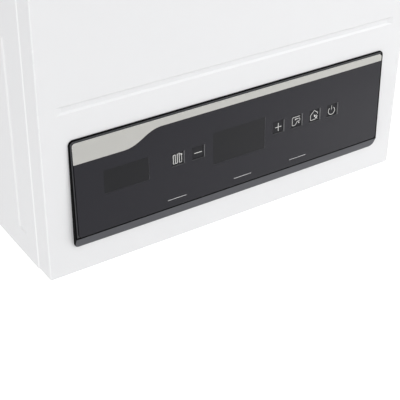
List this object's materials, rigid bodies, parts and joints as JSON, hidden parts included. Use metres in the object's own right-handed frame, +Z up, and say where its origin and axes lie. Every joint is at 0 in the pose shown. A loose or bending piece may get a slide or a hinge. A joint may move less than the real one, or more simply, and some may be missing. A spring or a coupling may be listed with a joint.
{
  "type": "combi boiler",
  "caption": "wall-hung gas combi boiler with a flush black control panel, sealed chamber, fan flue, pump and plate heat exchanger, for room heating and hot tap water",
  "frame": {"origin": "on the wall plane, on the casing's centre line, level with the front cover's lower edge", "axes": "+X along the casing's width to the viewer's right, +Y into the wall, +Z up"},
  "size_m": [0.41, 0.3263, 0.808],
  "materials": {
    "casing_white": "satin powder coat",
    "zinc_sheet": "galvanised, dull",
    "fascia_black": "smooth black, lightly glossy",
    "fascia_glass": "printed black from behind",
    "silver_trim": "silver lacquer, satin",
    "dark_plastic": "moulded, fine grain",
    "grey_plastic": "moulded, matt",
    "relief_red": "moulded, satin",
    "board_green": "solder mask, satin",
    "stainless": "fine brushed",
    "cast_alloy": "die cast, matt",
    "copper": "drawn copper, slightly dulled",
    "brass": "machined and forged brass",
    "vessel_red": "sprayed enamel",
    "fibre_board": "pressed ceramic fibre",
    "gasket_rubber": "moulded rubber",
    "flue_white": "satin powder coat"
  },
  "bodies": {
    "boiler": {"air_pressure_switch": "grey_plastic", "air_vent": "brass", "back_frame": "zinc_sheet", "bottom_plate": "casing_white", "burner_bars": "stainless", "burner_manifold": "cast_alloy", "cable_gland": "dark_plastic", "chamber_cover": "zinc_sheet", "combustion_box": "stainless", "control_box_body": "dark_plastic", "control_box_lid": "zinc_sheet", "cover_screws": "zinc_sheet", "display_board": "board_green", "display_window": "fascia_black", "diverter_motor": "dark_plastic", "electrodes": "stainless", "expansion_vessel": "vessel_red", "fan_housing": "cast_alloy", "fan_motor": "dark_plastic", "fascia_glass": "fascia_glass", "flow_block": "brass", "flow_sensor_body": "brass", "flue_adaptor": "flue_white", "flue_gasket": "gasket_rubber", "flue_hood": "zinc_sheet", "front_cover": "casing_white", "gas_pipe": "copper", "gas_valve": "cast_alloy", "gauge_window": "fascia_black", "heat_exchanger": "copper", "heating_pipes": "copper", "insulation_boards": "fibre_board", "left_side_panel": "casing_white", "main_board": "board_green", "panel_bezel": "fascia_black", "pipe_tails": "brass", "plate_heat_exchanger": "stainless", "pump_body": "grey_plastic", "pump_motor": "dark_plastic", "relief_valve": "brass", "return_block": "brass", "right_side_panel": "casing_white", "sealed_chamber": "zinc_sheet", "top_panel": "casing_white", "wall_bracket": "zinc_sheet", "wave_trim": "silver_trim"},
    "key_radiator": {"key_radiator": "fascia_black"},
    "key_minus": {"key_minus": "fascia_black"},
    "key_plus": {"key_plus": "fascia_black"},
    "key_tap": {"key_tap": "fascia_black"},
    "key_house": {"key_house": "fascia_black"},
    "key_power": {"key_power": "fascia_black"},
    "fan_rotor": {"fan_impeller": "stainless"},
    "pump_rotor": {"pump_impeller": "grey_plastic"},
    "turbine_rotor": {"flow_turbine": "grey_plastic"},
    "diverter_stem": {"diverter_stem": "brass"},
    "filling_knob": {"filling_knob": "dark_plastic"},
    "relief_knob": {"relief_knob": "relief_red"},
    "drain_plug": {"drain_plug": "brass"}
  },
  "joints": [
    {"name": "key_radiator_press", "type": "slide", "parent": "boiler", "child": "key_radiator", "axis": [0, 0.9993, -0.0384], "range_m": [0, 0.0008], "stiffness_N_per_m": 900},
    {"name": "key_minus_press", "type": "slide", "parent": "boiler", "child": "key_minus", "axis": [0, 0.9993, -0.0384], "range_m": [0, 0.0008], "stiffness_N_per_m": 900},
    {"name": "key_plus_press", "type": "slide", "parent": "boiler", "child": "key_plus", "axis": [0, 0.9993, -0.0384], "range_m": [0, 0.0008], "stiffness_N_per_m": 900},
    {"name": "key_tap_press", "type": "slide", "parent": "boiler", "child": "key_tap", "axis": [0, 0.9993, -0.0384], "range_m": [0, 0.0008], "stiffness_N_per_m": 900},
    {"name": "key_house_press", "type": "slide", "parent": "boiler", "child": "key_house", "axis": [0, 0.9993, -0.0384], "range_m": [0, 0.0008], "stiffness_N_per_m": 900},
    {"name": "key_power_press", "type": "slide", "parent": "boiler", "child": "key_power", "axis": [0, 0.9993, -0.0384], "range_m": [0, 0.0008], "stiffness_N_per_m": 900},
    {"name": "fan_spin", "type": "hinge", "parent": "boiler", "child": "fan_rotor", "pos_m": [-0.04275, -0.158, 0.6315], "axis": [0, 1, 0], "continuous": true},
    {"name": "pump_spin", "type": "hinge", "parent": "boiler", "child": "pump_rotor", "pos_m": [0.13, -0.12, 0.122], "axis": [0, 1, 0], "continuous": true},
    {"name": "turbine_spin", "type": "hinge", "parent": "boiler", "child": "turbine_rotor", "pos_m": [0.065, -0.12, 0.048], "axis": [0, 0, 1], "continuous": true},
    {"name": "diverter_stroke", "type": "slide", "parent": "boiler", "child": "diverter_stem", "axis": [0, 0, -1], "range_m": [0, 0.008]},
    {"name": "filling_turn", "type": "hinge", "parent": "boiler", "child": "filling_knob", "pos_m": [0.0975, -0.12, -0.018], "axis": [0, 0, 1], "range_deg": [0, 90]},
    {"name": "relief_turn", "type": "hinge", "parent": "boiler", "child": "relief_knob", "pos_m": [0.13, -0.17, 0.048], "axis": [0, -1, 0], "range_deg": [0, 90]},
    {"name": "drain_turn", "type": "hinge", "parent": "boiler", "child": "drain_plug", "pos_m": [-0.13, -0.138, 0.048], "axis": [0, -1, 0], "range_deg": [0, 90]}
  ]
}
